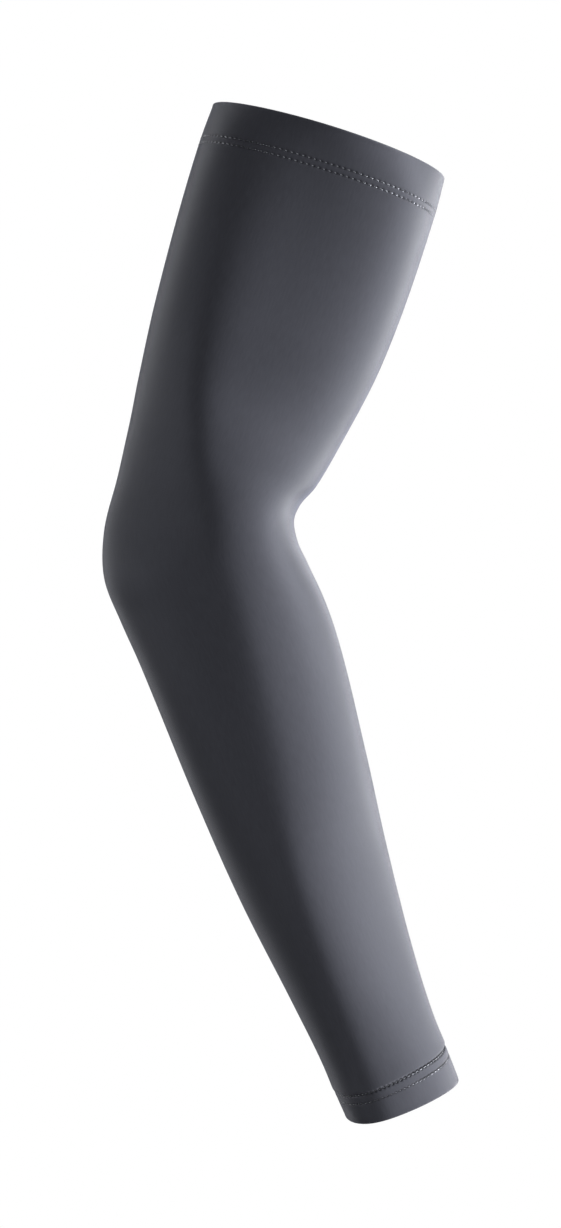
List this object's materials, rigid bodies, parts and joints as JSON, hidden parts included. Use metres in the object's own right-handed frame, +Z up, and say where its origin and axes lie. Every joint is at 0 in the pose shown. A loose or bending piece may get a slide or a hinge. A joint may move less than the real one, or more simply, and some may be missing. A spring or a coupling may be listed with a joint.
{
  "type": "arm sleeve",
  "caption": "Knitted arm sleeve: a thin tapered tube that covers an arm from mid upper arm to wrist, bent a little at the elbow, with a turned and sewn hem at each opening.",
  "frame": {"origin": "centre of the upper-arm opening, in the plane of its rim", "axes": "+Z up along the hanging arm, +X from the point of the elbow towards its crook, +Y through the arm, away from the side that the picture shows"},
  "size_m": [0.1461, 0.0896, 0.4163],
  "materials": {
    "sleeve_knit": "fine satin stretch knit",
    "hem_knit": "the same knit, doubled and sewn with two rows of thread"
  },
  "bodies": {
    "root": {"sleeve_body": "sleeve_knit", "upper_hem": "hem_knit", "wrist_hem": "hem_knit"}
  },
  "joints": []
}
